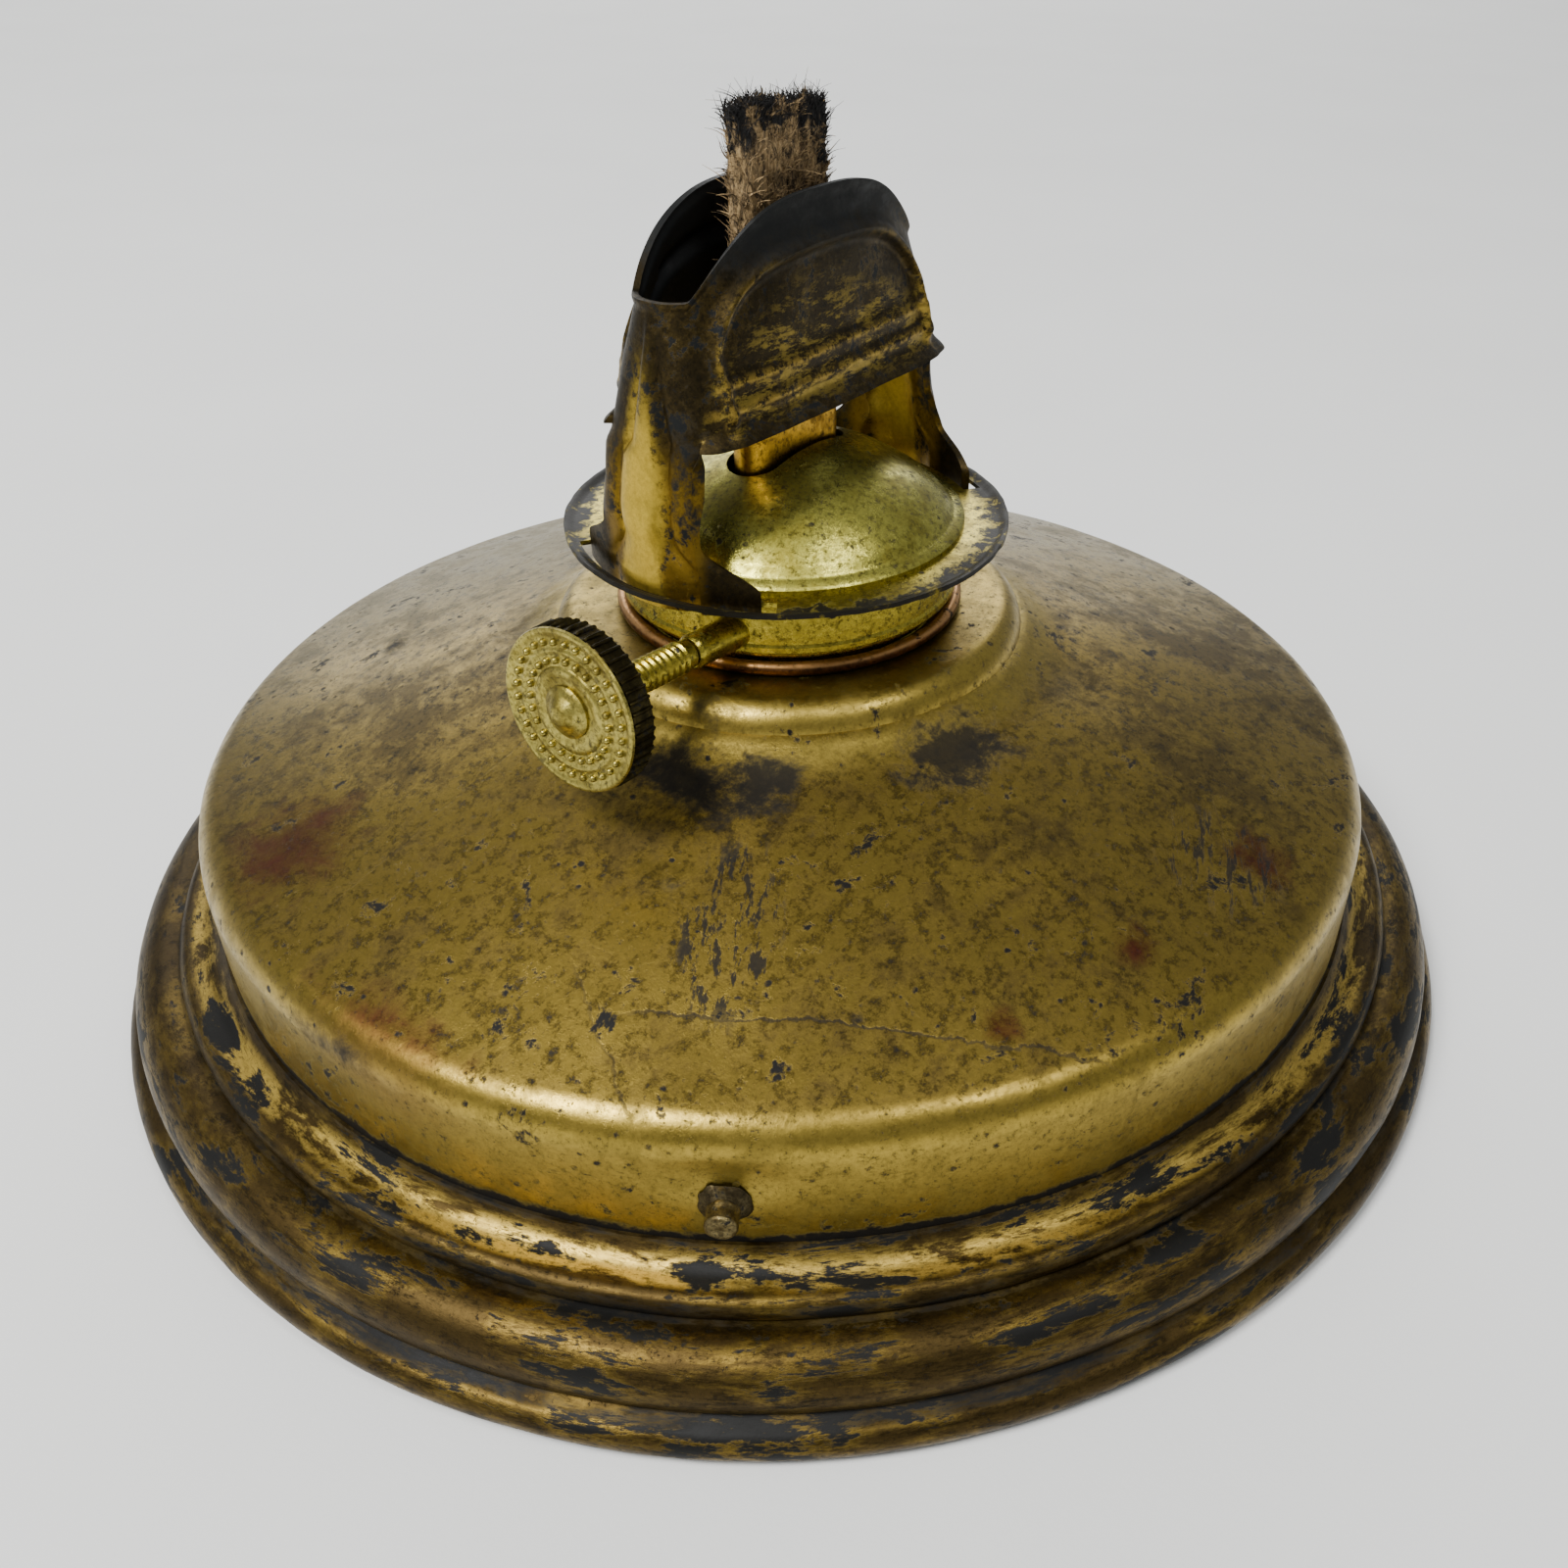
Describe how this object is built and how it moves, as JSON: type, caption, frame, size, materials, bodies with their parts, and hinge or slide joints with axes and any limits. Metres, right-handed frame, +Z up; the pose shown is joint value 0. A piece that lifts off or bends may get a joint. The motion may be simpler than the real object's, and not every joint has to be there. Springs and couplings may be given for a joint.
{
  "type": "oil lamp",
  "caption": "Flat-wick oil lamp: wide brass font with bayonet pegs, screw-in burner with gallery plate, draft dome, wick raiser knob and lift-off hood.",
  "frame": {"origin": "centre of the foot's underside, on the surface the lamp stands on", "axes": "+Z up along the axis of the font, X along the wick's width with the knob on the -X side, Y across the wick"},
  "size_m": [0.1568, 0.1568, 0.094],
  "materials": {
    "tarnished_brass": "spun sheet brass with brown and black tarnish, satin",
    "moulding_brass": "rolled brass moulding, mottled brown and black tarnish",
    "coppery_brass": "dark coppery brass with a rubbed edge",
    "peg_metal": "turned brass pin, worn end",
    "solder": "dull grey solder",
    "burner_brass": "bright yellow sheet brass with black tarnish patches",
    "dome_brass": "pale greenish-yellow brass with dark spots",
    "tube_brass": "orange-gold sheet brass, heat-tinted",
    "knob_brass": "pale stamped brass",
    "knob_band_brass": "olive ribbed brass, dirt between the ribs",
    "scorched_brass": "brown-bronze brass scorched blue-black at the mouth",
    "wick_cotton": "woven cotton, frayed and charred at the top"
  },
  "bodies": {
    "font": {"font_top": "tarnished_brass", "base_moulding": "moulding_brass", "bottom_plate": "moulding_brass", "collar": "coppery_brass", "bayonet_pegs": "peg_metal", "peg_washers": "solder"},
    "thimble": {"burner_thimble": "burner_brass"},
    "burner": {"burner_ring": "burner_brass", "burner_floor": "burner_brass", "gallery_plate": "burner_brass", "draft_dome": "dome_brass", "wick_tube": "tube_brass", "sprocket_cover": "burner_brass", "spindle_bush": "burner_brass"},
    "raiser": {"spindle": "knob_brass", "spindle_sleeve": "burner_brass", "sprocket_near": "knob_brass", "sprocket_far": "knob_brass", "knob_back": "knob_brass", "knob_band": "knob_band_brass", "knob_face": "knob_brass", "knob_rivet": "knob_brass"},
    "hood": {"hood": "scorched_brass"},
    "wick": {"wick": "wick_cotton"}
  },
  "joints": [
    {"name": "burner_lift", "type": "slide", "parent": "font", "child": "thimble", "axis": [0, 0, 1], "range_m": [0, 0.00763]},
    {"name": "burner_turn", "type": "hinge", "parent": "thimble", "child": "burner", "pos_m": [0, 0, 0.045], "axis": [0, 0, 1], "range_deg": [0, 1080]},
    {"name": "raiser_turn", "type": "hinge", "parent": "burner", "child": "raiser", "pos_m": [0, -0.006, 0.0459], "axis": [0.9962, 0, -0.0872], "range_deg": [-180, 45]},
    {"name": "wick_feed", "type": "slide", "parent": "burner", "child": "wick", "axis": [0, 0, 1], "range_m": [-0.0148, 0.0037]},
    {"name": "hood_pull", "type": "slide", "parent": "burner", "child": "hood", "axis": [0, 0, 1], "range_m": [0, 0.045]}
  ],
  "couplings": [
    {"joint": "burner_lift", "follows": "burner_turn", "m_per_rad": 0.00040425},
    {"joint": "wick_feed", "follows": "raiser_turn", "m_per_rad": 0.0046}
  ]
}
